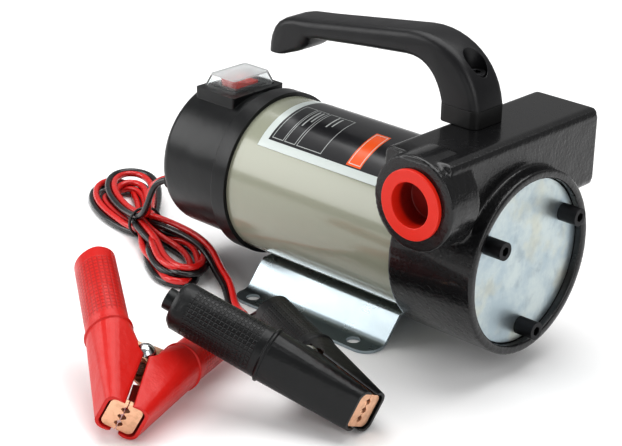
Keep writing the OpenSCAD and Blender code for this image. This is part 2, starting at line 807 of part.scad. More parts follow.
// End plate seen along the clip: rounded outer corners, and an inner edge with notches that meet its twin's
module toothed_plate(side) {
  difference() {
    intersection() {
      rounded_square(jaw_pair_w, jaw_h, 3);
      translate([min(side * 0.2, side * jaw_pair_w / 2), -jaw_h / 2]) square([jaw_pair_w / 2 - 0.2, jaw_h]);
    }
    for (z = [-4.2, 0, 4.2])
      polygon([[0, z - 2], [side * 1.9, z - 0.5], [side * 1.9, z + 0.5], [0, z + 2], [-side, z]]);
  }
}

module clip_rivet() {
  cylinder(h = 14, r = 2.42, center = true);
  for (m = [0, 1]) mirror([0, 0, m]) intersection() {
    translate([0, 0, 5.2]) sphere(5);
    translate([0, 0, 7]) cylinder(h = 6, r = 6);
  }
}

module clip_spring() {
  translate([0, 0, -4.2]) coil(8.4, 5, 3.7, 0.7);
}

module at_red_clip() {
  translate(red_clip_at) rotate(red_clip_turn) children();
}

module at_black_clip() {
  translate(black_clip_at) rotate(black_clip_turn) children();
}

module red_boot_moving() {
  color([0.75, 0.07, 0.05]) at_red_clip() clip_boot(-1, 1.2);
}

module red_boot_fixed() {
  color([0.75, 0.07, 0.05]) at_red_clip() clip_boot(1, 1.2);
}

module red_jaw_moving() {
  color([0.85, 0.6, 0.42]) at_red_clip() clip_jaw(-1, 4.5);
}

module red_jaw_fixed() {
  color([0.85, 0.6, 0.42]) at_red_clip() clip_jaw(1, 5.8);
}

module red_rivet() {
  color([0.8, 0.8, 0.8]) at_red_clip() clip_rivet();
}

module red_clip_spring() {
  color([0.6, 0.6, 0.6]) at_red_clip() clip_spring();
}

module black_boot_moving() {
  color([0.06, 0.06, 0.06]) at_black_clip() clip_boot(-1, 4.6);
}

module black_boot_fixed() {
  color([0.06, 0.06, 0.06]) at_black_clip() clip_boot(1, 4.6);
}

module black_jaw_moving() {
  color([0.85, 0.6, 0.42]) at_black_clip() clip_jaw(-1, 4.5);
}

module black_jaw_fixed() {
  color([0.85, 0.6, 0.42]) at_black_clip() clip_jaw(1, 5.8);
}

module black_rivet() {
  color([0.8, 0.8, 0.8]) at_black_clip() clip_rivet();
}

module black_clip_spring() {
  color([0.6, 0.6, 0.6]) at_black_clip() clip_spring();
}

pump_housing();
cover_plate();
cover_seal();
cover_screws();
shaft_seal();
front_bearing();
rear_bearing();
motor_tube();
magnet_left();
magnet_right();
rear_bell();
brush_holder();
brush_left();
brush_right();
brush_spring_left();
brush_spring_right();
tie_bolts();
label_plate();
motor_shaft();
armature_core();
armature_winding();
commutator();
pump_rotor();
vanes();
relief_seat();
relief_poppet();
relief_spring();
rear_cap();
cap_screws();
switch_body();
switch_rocker();
switch_boot();
base_bracket();
handle();
handle_base();
handle_bolt();
near_port_plug();
far_port_plug();
cable_gland();
power_cord();
cord_hank();
cord_tie();
cord_tail();
red_lead();
black_lead();
red_boot_moving();
red_boot_fixed();
red_jaw_moving();
red_jaw_fixed();
red_rivet();
red_clip_spring();
black_boot_moving();
black_boot_fixed();
black_jaw_moving();
black_jaw_fixed();
black_rivet();
black_clip_spring();
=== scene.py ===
"""Looks of the diesel transfer pump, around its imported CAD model, in metres, with +X towards the pump head.

The order is camera, cords, materials, skins of the CAD parts, label, and last the floor and the lights.
"""

import json
import math

import bmesh
import bpy
import numpy as np
from mathutils import Matrix, Vector

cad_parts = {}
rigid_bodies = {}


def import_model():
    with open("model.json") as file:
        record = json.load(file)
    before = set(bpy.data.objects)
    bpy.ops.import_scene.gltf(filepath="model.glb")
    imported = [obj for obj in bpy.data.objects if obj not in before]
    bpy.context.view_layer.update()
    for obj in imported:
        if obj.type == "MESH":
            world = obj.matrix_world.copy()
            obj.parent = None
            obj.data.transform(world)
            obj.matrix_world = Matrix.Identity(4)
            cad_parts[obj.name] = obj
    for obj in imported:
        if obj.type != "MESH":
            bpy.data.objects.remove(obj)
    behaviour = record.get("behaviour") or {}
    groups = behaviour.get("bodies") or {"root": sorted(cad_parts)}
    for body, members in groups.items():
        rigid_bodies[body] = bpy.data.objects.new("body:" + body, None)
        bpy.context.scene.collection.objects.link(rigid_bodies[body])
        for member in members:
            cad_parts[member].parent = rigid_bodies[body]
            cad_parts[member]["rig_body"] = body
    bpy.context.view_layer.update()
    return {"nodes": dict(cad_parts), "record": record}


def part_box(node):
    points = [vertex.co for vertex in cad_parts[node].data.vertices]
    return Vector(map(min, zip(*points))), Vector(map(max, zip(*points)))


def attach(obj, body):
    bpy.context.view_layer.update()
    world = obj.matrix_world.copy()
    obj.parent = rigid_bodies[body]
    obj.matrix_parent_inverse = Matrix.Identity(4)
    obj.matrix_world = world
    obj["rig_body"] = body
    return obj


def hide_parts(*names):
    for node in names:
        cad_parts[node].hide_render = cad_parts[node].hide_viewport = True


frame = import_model()
NODES = frame["nodes"]

# The motor tube's axis and radius
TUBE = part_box("motor_tube")
AXIS_Z = sum(c.z for c in TUBE) / 2
TUBE_R = (TUBE[1].z - TUBE[0].z) / 2


def unit(v):
    return v / np.linalg.norm(v)


def piece(name, data, body):
    """A new object in the scene, which rides a body."""
    obj = bpy.data.objects.new(name, data)
    bpy.context.scene.collection.objects.link(obj)
    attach(obj, body)
    return obj


# ---------------------------------------------------------------- camera

SENSOR_WIDTH = 36
CLIP_NEAR, CLIP_FAR = 0.05, 20


def place_camera(position, azimuth, elevation, roll, lens):
    """Azimuth 0 looks along +Y; roll turns the picture; angles are in degrees."""
    a, e, r = (math.radians(x) for x in (azimuth, elevation, roll))
    back = Vector((math.sin(a) * math.cos(e), -math.cos(a) * math.cos(e), math.sin(e)))
    level = Vector((math.cos(a), math.sin(a), 0))
    upright = back.cross(level)
    right = level * math.cos(r) + upright * math.sin(r)
    up = upright * math.cos(r) - level * math.sin(r)
    data = bpy.data.cameras.new("camera")
    data.lens = lens
    data.sensor_width = SENSOR_WIDTH
    data.clip_start = CLIP_NEAR
    data.clip_end = CLIP_FAR
    camera = bpy.data.objects.new("camera", data)
    bpy.context.scene.collection.objects.link(camera)
    turn = Matrix((right, up, back)).transposed().to_4x4()
    camera.matrix_world = Matrix.Translation(position) @ turn
    bpy.context.scene.camera = camera


place_camera((0.5551, -0.6341, 0.3972), azimuth=42.54, elevation=22.90, roll=1.26, lens=107.3)

# ---------------------------------------------------------------- cords

# The twin cord is two round cores side by side. Its routes outside the hank are those of part.scad.
CORE_R = 0.00175
GAP = CORE_R * 1.02  # half of the distance between the cores' lines
CORD_STEP = 0.0035  # between points while the cord settles
FINE_STEP = 0.0012  # between points of the finished cord
EXIT_ROUTE = [
    (-0.1065, -0.022, 0.041), (-0.1125, -0.023, 0.040), (-0.1175, -0.026, 0.034),
    (-0.1175, -0.028, 0.025), (-0.1195, -0.027, 0.0185),
]
TAIL_ROUTE = [
    (-0.060, -0.0326, 0.009), (-0.054, -0.0359, 0.0083), (-0.048, -0.0394, 0.0074),
    (-0.0415, -0.0434, 0.0062), (-0.0355, -0.0482, 0.0052), (-0.030, -0.053, 0.005),
]
RED_ROUTE = [
    (-0.024, -0.0555, 0.006), (-0.017, -0.059, 0.0075), (-0.0095, -0.064, 0.010), (-0.0035, -0.070, 0.013),
    (0.000, -0.076, 0.0148), (0.0022, -0.0822, 0.0152),
]
BLACK_ROUTE = [
    (-0.025, -0.0565, 0.003), (-0.019, -0.0588, 0.0022), (-0.013, -0.0586, 0.0038), (-0.008, -0.058, 0.008),
    (-0.003, -0.0594, 0.0136), (0.0035, -0.0628, 0.0162),
]
TIE_AT = np.array((-0.128, -0.021, 0.0095))
TIE_DIRECTION = unit(np.array((0.86, -0.5, 0.0)))
TIE_ACROSS = np.array((-TIE_DIRECTION[1], TIE_DIRECTION[0], 0))
TIE_R = 0.0078

# The hank passes through the tie, with a loop behind it or in front of it between two passes. Each loop has
# the angle that its pair of cores is rolled by: 0 puts black outside, -90 puts red on top.
REAR_LOOPS = [
    (0, [(-0.145, -0.017, 0.012), (-0.156, -0.013, 0.012), (-0.174, -0.005, 0.012), (-0.188, 0.007, 0.012),
         (-0.195, 0.018, 0.012), (-0.192, 0.026, 0.012), (-0.184, 0.029, 0.012), (-0.171, 0.025, 0.012),
         (-0.156, 0.013, 0.012), (-0.142, -0.002, 0.012)]),
    (-35, [(-0.148, -0.014, 0.009), (-0.166, -0.009, 0.008), (-0.181, -0.001, 0.008), (-0.187, 0.010, 0.008),
           (-0.184, 0.019, 0.008), (-0.174, 0.020, 0.008), (-0.160, 0.011, 0.008), (-0.145, -0.003, 0.009)]),
    (-75, [(-0.140, -0.024, 0.006), (-0.158, -0.021, 0.004), (-0.178, -0.013, 0.004), (-0.190, -0.005, 0.004),
           (-0.198, 0.003, 0.004), (-0.200, 0.012, 0.004), (-0.195, 0.020, 0.004), (-0.185, 0.021, 0.004),
           (-0.172, 0.014, 0.004), (-0.159, 0.003, 0.004), (-0.145, -0.008, 0.006)]),
    (-50, [(-0.145, -0.018, 0.007), (-0.160, -0.015, 0.005), (-0.175, -0.010, 0.005), (-0.186, -0.001, 0.005),
           (-0.189, 0.009, 0.005), (-0.183, 0.017, 0.005), (-0.172, 0.018, 0.006), (-0.157, 0.008, 0.007),
           (-0.142, -0.007, 0.008)]),
]
FRONT_LOOPS = [
    (-60, [(-0.1225, -0.0125, 0.010), (-0.1195, -0.006, 0.009), (-0.1145, -0.0005, 0.0085),
           (-0.107, 0.001, 0.0085), (-0.099, -0.003, 0.0085), (-0.089, -0.011, 0.009),
           (-0.077, -0.024, 0.010), (-0.067, -0.036, 0.011), (-0.062, -0.045, 0.011),
           (-0.066, -0.051, 0.011), (-0.075, -0.051, 0.011), (-0.086, -0.047, 0.011),
           (-0.102, -0.038, 0.011), (-0.118, -0.028, 0.011)]),
    (-80, [(-0.112, -0.020, 0.008), (-0.096, -0.023, 0.006), (-0.079, -0.032, 0.005), (-0.066, -0.043, 0.004),
           (-0.062, -0.050, 0.004), (-0.067, -0.055, 0.004), (-0.077, -0.055, 0.004), (-0.094, -0.047, 0.004),
           (-0.109, -0.037, 0.005), (-0.119, -0.030, 0.007)]),
    (-60, [(-0.113, -0.013, 0.008), (-0.100, -0.016, 0.008), (-0.086, -0.022, 0.008), (-0.073, -0.030, 0.008),
           (-0.066, -0.040, 0.008), (-0.068, -0.049, 0.008), (-0.077, -0.053, 0.009), (-0.089, -0.049, 0.010),
           (-0.103, -0.039, 0.010), (-0.117, -0.029, 0.009)]),
]
TAIL_ROLL = -135
TAIL_START = [
    (-0.118, -0.020, 0.0135), (-0.1085, -0.0165, 0.0145), (-0.099, -0.0155, 0.0145), (-0.087, -0.019, 0.014),
    (-0.076, -0.025, 0.0125), (-0.067, -0.0295, 0.0105),
]


def smooth_line(points, step):
    """Points a step apart on a Catmull-Rom curve through the given ones."""
    before = 2 * np.array(points[0]) - points[1]
    after = 2 * np.array(points[-1]) - points[-2]
    p = np.array([before, *points, after], float)
    t = np.linspace(0, 1, 24, endpoint=False)[:, None]
    fine = np.concatenate([
        0.5 * (2 * b + (c - a) * t + (2 * a - 5 * b + 4 * c - d) * t**2 + (3 * b - a - 3 * c + d) * t**3)
        for a, b, c, d in zip(p, p[1:], p[2:], p[3:])
    ] + [p[-2:-1]])
    along = np.concatenate([[0], np.cumsum(np.linalg.norm(np.diff(fine, axis=0), axis=1))])
    stops = np.linspace(0, along[-1], max(2, round(along[-1] / step) + 1))
    return np.stack([np.interp(stops, along, fine[:, k]) for k in range(3)], axis=1)


def eased(points, rounds):
    """The same line with its corners relaxed, and its two ends kept."""
    p = points.copy()
    for _ in range(rounds):
        p[1:-1] += 0.25 * (p[:-2] + p[2:] - 2 * p[1:-1])
    return p


def tie_pass(height, aside):
    """A point in the tie, at a height above its middle and a distance to one side of it."""
    return TIE_AT + np.array((0, 0, height)) + aside * TIE_ACROSS


def twin_cord():
    """Both cores before they settle, as two arrays of points."""
    aside = 0.0035
    near = [tie_pass(z, -aside) for z in (0.005, 0.002, -0.002, 0.0)]
    far = [tie_pass(z, aside) for z in (0.003, 0.0, -0.004, 0.004)]
    route, rolls = [*EXIT_ROUTE, near[0]], [0] * (len(EXIT_ROUTE) + 1)
    for i, (roll, loop) in enumerate(REAR_LOOPS):
        route += [*loop, far[i]]
        rolls += [roll] * (len(loop) + 1)
        if i < len(FRONT_LOOPS):
            roll, loop = FRONT_LOOPS[i]
            route += [*loop, near[i + 1]]
            rolls += [roll] * (len(loop) + 1)
    route += TAIL_START + TAIL_ROUTE
    rolls += [TAIL_ROLL] * (len(TAIL_START) + len(TAIL_ROUTE))
    middle = smooth_line(route, CORD_STEP)
    stations = np.concatenate([[0], np.cumsum(np.linalg.norm(np.diff(route, axis=0), axis=1))])
    share = np.linspace(0, stations[-1], len(middle))
    roll = np.interp(share, stations, rolls)
    width = round(0.03 / CORD_STEP)  # points over which the roll changes from one loop to the next
    mean = np.convolve(np.pad(roll, width, mode="edge"), np.ones(width) / width, "same")
    roll = np.radians(mean[width:-width])
    heading = np.gradient(middle, axis=0)
    left = np.cross((0, 0, 1), heading)
    left /= np.linalg.norm(left, axis=1)[:, None] + 1e-9
    side = left * np.cos(roll)[:, None] + np.array((0, 0, 1)) * np.sin(roll)[:, None]
    return middle - GAP * side, middle + GAP * side


def settle(red, black, rounds):
    """Lets the twin cord find its lie: the cores keep apart, paired, off the floor and inside the tie.

    The shares say how much of each fault one round repairs.
    """
    apart_share, smooth_share, length_share, pair_share, tie_share = 0.25, 0.08, 0.3, 0.4, 0.3
    held_first, held_last = 6, 8
    sink, lift = 0.00002, 0.0003
    tie_room = TIE_R - CORE_R
    n = len(red)
    x = np.concatenate([red, black])
    held = np.zeros(2 * n, bool)
    for start in (0, n):
        held[start : start + held_first] = True
        held[start + n - held_last : start + n] = True
    fixed = x[held].copy()
    order = np.arange(2 * n) % n
    near_self = np.abs(order[:, None] - order[None, :]) < 4  # along one core, or across the pair
    upper = np.triu(np.ones((2 * n, 2 * n), bool), 1) & ~near_self
    rest = np.linalg.norm(np.diff(x, axis=0), axis=1)
    along_tie = (x - TIE_AT) @ TIE_DIRECTION
    in_tie = (np.abs(along_tie) < 0.005) & ~held
    links = np.array([i for i in range(2 * n - 1) if i != n - 1])
    inner = np.nonzero((order > 0) & (order < n - 1))[0]
    for _ in range(rounds):
        square = (x * x).sum(1)
        gap2 = square[:, None] + square[None, :] - 2 * x @ x.T
        a, b = np.nonzero((gap2 < (2 * GAP) ** 2) & upper)
        if len(a):
            d = x[a] - x[b]
            length = np.linalg.norm(d, axis=1)[:, None] + 1e-9
            push = d / length * (2 * GAP - length) * apart_share
            np.add.at(x, a, push)
            np.add.at(x, b, -push)
        x[inner] += smooth_share * (0.5 * (x[inner - 1] + x[inner + 1]) - x[inner])
        for _ in range(2):
            d = x[links + 1] - x[links]
            length = np.linalg.norm(d, axis=1)
            fix = d * ((length - rest[links]) / (length + 1e-9) * length_share)[:, None]
            np.add.at(x, links, fix)
            np.add.at(x, links + 1, -fix)
            d = x[n:] - x[:n]
            length = np.linalg.norm(d, axis=1)[:, None]
            fix = d / (length + 1e-9) * (length - 2 * GAP) * pair_share
            x[:n] += fix
            x[n:] -= fix
        off = x - TIE_AT
        off -= (off @ TIE_DIRECTION)[:, None] * TIE_DIRECTION
        reach = np.linalg.norm(off, axis=1)
        far_out = in_tie & (reach > tie_room)
        x[far_out] -= off[far_out] * (tie_share * (1 - tie_room / reach[far_out]))[:, None]
        x[~held, 2] -= sink
        x[:, 2] = np.maximum(x[:, 2], CORE_R + lift)
        x[held] = fixed
    return x[:n], x[n:]


def whole_core(core, route):
    """One core from the gland to its clip, even and without kinks."""
    line = np.concatenate([core, smooth_line([core[-1], *route], CORD_STEP)[1:]])
    line = eased(smooth_line(line, CORD_STEP), 5)
    line[:, 2] = np.maximum(line[:, 2], CORE_R + 0.0002)
    return smooth_line(line, FINE_STEP)


def tube_curve(name, points, body):
    """A round core along the points, as one open spline that rides a body."""
    data = bpy.data.curves.new(name, "CURVE")
    data.dimensions = "3D"
    data.bevel_depth = 1.0  # the points' radius scales it
    data.bevel_resolution = 2
    data.use_fill_caps = True
    spline = data.splines.new("POLY")
    spline.points.add(len(points) - 1)
    spline.points.foreach_set("co", np.c_[points, np.ones(len(points))].ravel())
    spline.points.foreach_set("radius", np.full(len(points), CORE_R))
    spline.use_smooth = True
    return piece(name, data, body)


red_line, black_line = settle(*twin_cord(), rounds=160)
red_line = whole_core(red_line, RED_ROUTE)
black_line = whole_core(black_line, BLACK_ROUTE)
red_cord = tube_curve("red_core", red_line, "pump")
black_cord = tube_curve("black_core", black_line, "pump")
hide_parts("power_cord", "cord_hank", "cord_tail", "red_lead")
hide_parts("black_lead")


def tie_band(radius=0.0008, sides=8):
    """The plastic tie round the hank, as a closed mesh tube with its cut end standing out."""
    up = np.array((0, 0, 1))
    reach = TIE_R + 0.0007
    start = -0.3
    turns = np.linspace(start, 2 * math.pi + start, 48)
    line = [TIE_AT + reach * (math.cos(t) * TIE_ACROSS + math.sin(t) * up) for t in turns]
    line += [line[-1] + out * TIE_ACROSS + 0.001 * up for out in (0.002, 0.005)]
    heading = np.gradient(np.array(line), axis=0)
    angles = [2 * math.pi * k / sides for k in range(sides)]
    bm = bmesh.new()
    loops = []
    for point, ahead in zip(line, heading):
        flat = unit(np.cross(ahead, TIE_DIRECTION))
        ring = [math.cos(a) * flat + math.sin(a) * TIE_DIRECTION for a in angles]
        loops.append([bm.verts.new(point + radius * spoke) for spoke in ring])
    for a, b in zip(loops, loops[1:]):
        for k in range(sides):
            bm.faces.new((a[k], a[(k + 1) % sides], b[(k + 1) % sides], b[k]))
    bm.faces.new(loops[0])
    bm.faces.new(reversed(loops[-1]))
    bmesh.ops.recalc_face_normals(bm, faces=bm.faces)
    mesh = bpy.data.meshes.new("tie")
    bm.to_mesh(mesh)
    bm.free()
    mesh.shade_smooth()
    obj = piece("tie", mesh, "pump")
    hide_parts("cord_tie")
    return obj


tie = tie_band()

# ---------------------------------------------------------------- materials

# Spans, in metres, over which a look changes
BLOCK_TOP_Z = (0.1125, 0.1136)
# The bracket gets painted shade below this span, darkest at its foot
BRACKET_FOOT_SHADE_Z = (0.0035, 0.0125)
SWITCH_BOOT_TOP_Z = (0.1000, 0.1012)
# Each port plug gets painted shade deeper in its cup than these spans
NEAR_CUP_SHADE_Y = (-0.0555, -0.0525)
FAR_CUP_SHADE_Y = (0.0505, 0.0535)

LOW_SHINE = 0.35  # specular level of the vinyl and of the black surfaces
VINYL = {"red": (0.56, 0.013, 0.009), "black": (0.005, 0.0055, 0.006)}
VINYL_ROUGHNESS = 0.34

# The net pressed into a clip's grip: the arm's place and turn, and the net's pitch, ribs, span and depth
ARM_X, ARM_Y, ARM_TURN = -0.007, 0.0173, -23.0
NET_PITCH, NET_RIBS = 0.0021, 30
NET_START_X, NET_END_X = (-0.041, -0.0385), (-0.0075, -0.005)
NET_DEPTH = {"red": 0.00015, "black": 0.0004}


class Surface:
    """A principled material built up from nodes, in each piece's own coordinates, which are the frame's."""

    def __init__(self, name, colour, roughness, metallic=0.0, **inputs):
        self.material = bpy.data.materials.new(name)
        self.material.use_nodes = True
        self.tree = self.material.node_tree
        self.shader = self.tree.nodes["Principled BSDF"]
        self.place = self.node("ShaderNodeTexCoord").outputs["Object"]
        self.colour = self.rgb(colour)
        self.normal = None
        self.shader.inputs["Roughness"].default_value = roughness
        self.shader.inputs["Metallic"].default_value = metallic
        for key, value in inputs.items():
            self.shader.inputs[key.replace("_", " ")].default_value = value
        self.link(self.colour, self.shader.inputs["Base Color"])

    def node(self, kind, **settings):
        node = self.tree.nodes.new(kind)
        for key, value in settings.items():
            setattr(node, key, value)
        return node

    def link(self, out, into):
        self.tree.links.new(out, into)

    def rgb(self, colour):
        node = self.node("ShaderNodeRGB")
        node.outputs[0].default_value = (*colour, 1)
        return node.outputs[0]

    def math(self, operation, a, b=None, c=None):
        node = self.node("ShaderNodeMath", operation=operation)
        for socket, value in zip(node.inputs, (a, b, c)):
            if value is None:
                continue
            if isinstance(value, (int, float)):
                socket.default_value = value
            else:
                self.link(value, socket)
        return node.outputs[0]

    def mapped(self, shift=(0, 0, 0), turn=(0, 0, 0), scale=(1, 1, 1), place=None, kind="POINT"):
        """The place moved, turned in degrees and scaled; kind TEXTURE undoes such a move."""
        node = self.node("ShaderNodeMapping", vector_type=kind)
        node.inputs["Location"].default_value = shift
        node.inputs["Rotation"].default_value = [math.radians(t) for t in turn]
        node.inputs["Scale"].default_value = scale
        self.link(place or self.place, node.inputs["Vector"])
        return node.outputs[0]

    def axes(self, place=None):
        """The place's x, y and z."""
        node = self.node("ShaderNodeSeparateXYZ")
        self.link(place or self.place, node.inputs[0])
        return node.outputs

    def noise(self, per_metre, detail=3.0, rough=0.5, place=None):
        node = self.node("ShaderNodeTexNoise")
        node.inputs["Scale"].default_value = per_metre
        node.inputs["Detail"].default_value = detail
        node.inputs["Roughness"].default_value = rough
        self.link(place or self.place, node.inputs["Vector"])
        return node.outputs["Fac"]

    def band(self, value, low, high):
        """0 below low, 1 above high, and smooth between."""
        node = self.node("ShaderNodeMapRange", interpolation_type="SMOOTHSTEP")
        self.link(value, node.inputs["Value"])
        node.inputs["From Min"].default_value = low
        node.inputs["From Max"].default_value = high
        return node.outputs[0]

    def tint(self, share, colour, amount=1.0):
        """Mixes another colour in, by a share from 0 to 1."""
        mix = self.node("ShaderNodeMix", data_type="RGBA")
        self.link(self.math("MULTIPLY", share, amount), mix.inputs["Factor"])
        self.link(self.colour, mix.inputs["A"])
        mix.inputs["B"].default_value = (*colour, 1)
        self.colour = mix.outputs["Result"]
        self.link(self.colour, self.shader.inputs["Base Color"])
        return self

    def vary(self, socket, share, low, high):
        """Drives a shader input from low to high by a share."""
        node = self.node("ShaderNodeMapRange")
        self.link(share, node.inputs["Value"])
        node.inputs["To Min"].default_value = low
        node.inputs["To Max"].default_value = high
        self.link(node.outputs[0], self.shader.inputs[socket])
        return self

    def bump(self, height, depth):
        """Raises the surface by height times depth, in metres."""
        node = self.node("ShaderNodeBump")
        node.inputs["Distance"].default_value = depth
        node.inputs["Strength"].default_value = 1.0
        self.link(height, node.inputs["Height"])
        if self.normal:
            self.link(self.normal, node.inputs["Normal"])
        self.normal = node.outputs[0]
        self.link(self.normal, self.shader.inputs["Normal"])
        return self

    def soften(self, radius):
        """Rounds every sharp edge of the shape by a small radius."""
        node = self.node("ShaderNodeBevel", samples=6)
        node.inputs["Radius"].default_value = radius
        self.normal = node.outputs[0]
        self.link(self.normal, self.shader.inputs["Normal"])
        return self


def cast_paint():
    """Glossy black paint run over a casting: smooth on its worked top, rough and chipped elsewhere."""
    s = Surface(
        "cast_paint", (0.004, 0.004, 0.0045), 0.2,
        Coat_Weight=0.35, Coat_Roughness=0.08, Specular_IOR_Level=LOW_SHINE,
    )
    top = s.band(s.axes()[2], *BLOCK_TOP_Z)
    sides = s.math("SUBTRACT", 1, top)
    s.bump(s.math("MULTIPLY", s.noise(620, 3, 0.55), sides), 0.0003)
    s.bump(s.math("MULTIPLY", s.noise(130, 2), sides), 0.00045)
    s.vary("Roughness", s.noise(260, 3), 0.16, 0.34)
    chips = s.band(s.noise(430, 5, 0.7), 0.73, 0.745)
    s.tint(s.math("MULTIPLY", chips, sides), (0.30, 0.30, 0.29), 0.8)
    return s.material


def zinc():
    """Passivated zinc: bluish grey, with darker and yellowish clouds."""
    s = Surface("zinc", (0.42, 0.50, 0.54), 0.34, 0.92)
    s.tint(s.band(s.noise(38, 5, 0.65), 0.40, 0.62), (0.58, 0.64, 0.63), 0.8)
    s.tint(s.band(s.noise(95, 4, 0.6), 0.5, 0.72), (0.30, 0.36, 0.40), 0.5)
    yellow = s.band(s.noise(60, 3, 0.5, s.mapped(shift=(0.3, 0.1, 0))), 0.52, 0.7)
    s.tint(yellow, (0.62, 0.58, 0.42), 0.35)
    s.vary("Roughness", s.noise(90, 4, 0.6), 0.22, 0.48)
    s.bump(s.noise(900, 3), 0.00004)
    return s.material


def galvanised():
    """Bright rolled sheet, nearly a mirror, darkened at its foot by painted shade, with faint rolling waves.
    """
    s = Surface("galvanised", (0.44, 0.50, 0.53), 0.27, 0.95)
    # Painted shade: the sheet is tinted darker towards its foot on the floor
    low = s.math("SUBTRACT", 1, s.band(s.axes()[2], *BRACKET_FOOT_SHADE_Z))
    s.tint(low, (0.24, 0.29, 0.31), 0.6)
    s.tint(s.band(s.noise(55, 4), 0.45, 0.7), (0.36, 0.41, 0.44), 0.4)
    s.vary("Roughness", s.noise(70, 4), 0.22, 0.34)
    s.bump(s.noise(28, 2, place=s.mapped(scale=(0.6, 1, 1))), 0.0005).bump(s.noise(1100, 3), 0.00002)
    return s.material


def tube_paint():
    """Greyish green gloss paint, with faint waves round the tube."""
    s = Surface("tube_paint", (0.300, 0.312, 0.240), 0.2, Coat_Weight=0.5, Coat_Roughness=0.1)
    s.tint(s.noise(12, 2), (0.325, 0.335, 0.262), 0.6)
    s.bump(s.noise(40, 2, place=s.mapped(scale=(0.4, 1, 1))), 0.0004).bump(s.noise(800, 2), 0.00002)
    return s.material


def moulded(name, colour, roughness, grain=0.00003, **inputs):
    """Moulded plastic with a fine spark-eroded grain."""
    s = Surface(name, colour, roughness, **inputs)
    s.soften(0.0005)
    s.bump(s.noise(1500, 2), grain).bump(s.noise(70, 2), 0.0003)
    s.vary("Roughness", s.noise(140, 3), roughness * 0.8, roughness * 1.25)
    return s


def black_plastic(name, colour, roughness):
    return moulded(name, colour, roughness, Specular_IOR_Level=LOW_SHINE).material


def plug_plastic():
    """Red moulded plastic, with painted shade that darkens it down in the plug's cup."""
    s = moulded("plug_red", (0.70, 0.020, 0.006), 0.36, Subsurface_Weight=0.05)
    y = s.axes()[1]
    # Painted shade: the plug is tinted dark red deeper in its cup
    inside = s.math("SUBTRACT", s.band(y, *NEAR_CUP_SHADE_Y), s.band(y, *FAR_CUP_SHADE_Y))
    s.tint(inside, (0.13, 0.003, 0.002), 0.85)
    return s.material


def vinyl(name, colour, roughness=VINYL_ROUGHNESS):
    """Soft dipped vinyl with faint flow marks."""
    s = Surface(name, colour, roughness, Subsurface_Weight=0.03, Specular_IOR_Level=LOW_SHINE)
    s.shader.inputs["Subsurface Radius"].default_value = (0.002, 0.001, 0.0008)
    s.soften(0.0006)
    s.bump(s.noise(1100, 2), 0.00004).bump(s.noise(130, 3), 0.0005)
    s.vary("Roughness", s.noise(170, 3), roughness * 0.75, roughness * 1.3)
    return s


def grip(name, colour, at, turn, side, depth):
    """Vinyl with a fine square net pressed into the grip, its grooves darkened with painted shade; at and
    turn are the clip's, side is -1 or 1.
    """
    s = vinyl(name, colour)
    clip = s.mapped(at, turn, kind="TEXTURE")
    arm = s.mapped((ARM_X, side * ARM_Y, 0), (0, 0, ARM_TURN * side), place=clip, kind="TEXTURE")
    along, round_y, round_z = s.axes(arm)
    angle = s.math("ARCTAN2", round_z, round_y)
    rings = s.band(s.math("SINE", s.math("MULTIPLY", along, 2 * math.pi / NET_PITCH)), 0.35, 0.95)
    ribs = s.band(s.math("SINE", s.math("MULTIPLY", angle, NET_RIBS)), 0.35, 0.95)
    where = s.math("SUBTRACT", s.band(along, *NET_START_X), s.band(along, *NET_END_X))
    net = s.math("MULTIPLY", s.math("MAXIMUM", rings, ribs), where)
    s.bump(net, -depth)
    # Painted shade: the net's pressed-in grooves are tinted darker
    s.tint(net, tuple(c * 0.4 for c in colour), 0.45)
    return s.material


def metal(name, colour, roughness, grain=0.00003):
    """Metal with a fine grain and uneven gloss."""
    s = Surface(name, colour, roughness, 1.0)
    s.soften(0.0002)
    s.bump(s.noise(1300, 3), grain)
    s.vary("Roughness", s.noise(400, 4), roughness * 0.7, roughness * 1.4)
    return s.material


def copper():
    """Plated steel jaws, copper with darker clouds."""
    s = Surface("copper", (0.82, 0.50, 0.33), 0.36, 0.85)
    s.soften(0.0002)
    s.tint(s.band(s.noise(420, 4), 0.45, 0.7), (0.58, 0.33, 0.20), 0.5)
    s.bump(s.noise(1600, 3), 0.00003)
    return s.material


def cord_skin(name, colour):
    """Glossy cord insulation, faintly uneven."""
    s = Surface(name, colour, 0.26, Coat_Weight=0.3, Coat_Roughness=0.15)
    s.bump(s.noise(300, 3), 0.00025).bump(s.noise(1800, 2), 0.00003)
    s.vary("Roughness", s.noise(220, 3), 0.2, 0.38)
    return s.material


def clear_vinyl():
    """Clear vinyl: glassy at the skirt, frosted towards the top."""
    s = Surface("clear_vinyl", (0.93, 0.95, 0.95), 0.14, IOR=1.36, Transmission_Weight=1.0)
    top = s.band(s.axes()[2], *SWITCH_BOOT_TOP_Z)
    s.vary("Roughness", top, 0.12, 0.34)
    s.vary("Transmission Weight", top, 0.96, 0.72)
    s.bump(s.noise(90, 2), 0.0003)
    return s.material


def printed(name, colour):
    """Ink under a clear film."""
    s = Surface(name, colour, 0.3, Coat_Weight=0.4, Coat_Roughness=0.15)
    s.bump(s.noise(60, 2), 0.0002)
    return s.material


# Where each clip lies, as in part.scad: place of its rivet, and its turns about X, Y and Z
CLIPS = {
    "red": ((0.0065, -0.1455, 0.020), (-26, 12, -55)),
    "black": ((0.0602, -0.0981, 0.0203), (-25, 12, -1)),
}

